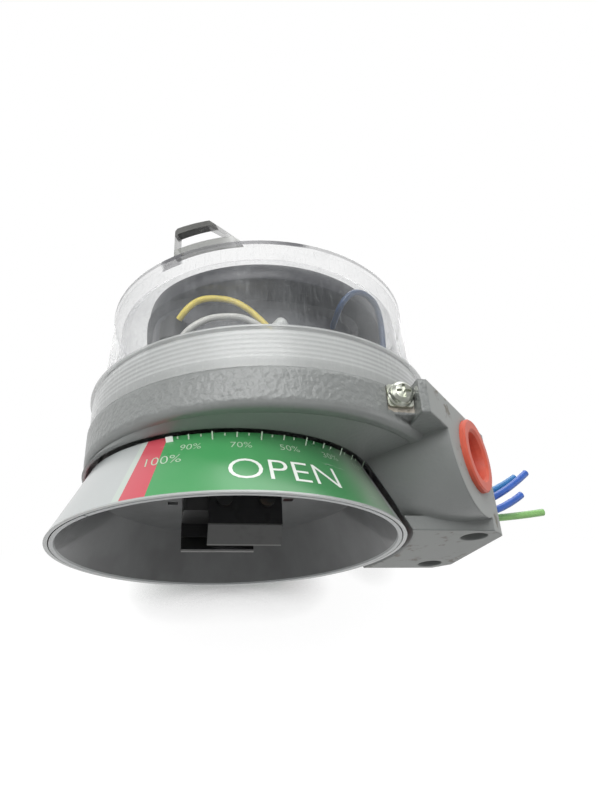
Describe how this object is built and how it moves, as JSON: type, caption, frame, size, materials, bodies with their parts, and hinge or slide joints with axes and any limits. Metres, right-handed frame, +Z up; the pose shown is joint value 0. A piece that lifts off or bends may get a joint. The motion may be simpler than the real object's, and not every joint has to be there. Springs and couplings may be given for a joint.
{
  "type": "valve limit switch box",
  "caption": "Valve position switch box: clear screw cover over a sensing module, grey cast bowl with a wiring block, and a flared turning indicator skirt.",
  "frame": {"origin": "on the shaft axis in the mounting plane, which holds the rim of the indicator skirt and the underside of the foot", "axes": "+Z up the shaft axis towards the cover, +X towards the wiring block, -Y the side with the plugged conduit entry"},
  "size_m": [0.177, 0.1196, 0.0964],
  "materials": {
    "epoxy_grey": "semi-gloss epoxy paint over a die casting",
    "plug_red": "moulded cap",
    "zinc": "zinc plated",
    "potting": "cast resin",
    "clear_poly": "clear polycarbonate",
    "smoke_poly": "smoky clear moulding",
    "seal_rubber": "matt",
    "print_green": "printed label under a clear film",
    "liner_grey": "satin",
    "shaft_steel": "turned",
    "bronze": "sintered bush",
    "spring_steel": "dark spring steel",
    "carrier_black": "satin",
    "magnet_metal": "nickel plated",
    "module_black": "slightly glossy",
    "terminal_green": "satin",
    "lead_blue": "wire insulation",
    "lead_light_blue": "wire insulation",
    "lead_green": "wire insulation",
    "lead_yellow": "wire insulation",
    "lead_white": "wire insulation",
    "cap_white": "closed end cap"
  },
  "bodies": {
    "base": {"housing": "epoxy_grey", "conduit_plug": "plug_red", "earth_clamp": "zinc", "earth_screw": "zinc", "lead_seal": "potting", "cover_seal": "seal_rubber", "shaft_bushing": "bronze", "sensor_module": "module_black", "module_screws": "zinc", "terminal_block": "terminal_green", "terminal_screws": "zinc", "module_gland": "seal_rubber", "lead_cap": "cap_white", "lead_out_upper": "lead_light_blue", "lead_out_middle": "lead_blue", "lead_out_lower": "lead_blue", "lead_out_earth": "lead_green", "lead_yellow": "lead_yellow", "lead_white": "lead_white", "lead_blue": "lead_blue"},
    "rotor": {"indicator_shell": "print_green", "indicator_liner": "liner_grey", "drive_shaft": "shaft_steel", "retaining_ring": "spring_steel", "magnet_carrier": "carrier_black", "magnets": "magnet_metal", "coupling_hub": "carrier_black", "clip_screws": "zinc", "clip_rear": "spring_steel", "clip_front": "spring_steel"},
    "cover": {"clear_cover": "clear_poly", "cover_grips": "smoke_poly"}
  },
  "joints": [
    {"name": "indicator_turn", "type": "hinge", "parent": "base", "child": "rotor", "pos_m": [0, 0, 0], "axis": [0, 0, 1], "range_deg": [0, 90]},
    {"name": "cover_lift", "type": "slide", "parent": "base", "child": "cover", "axis": [0, 0, 1], "range_m": [0, 0.06]}
  ]
}
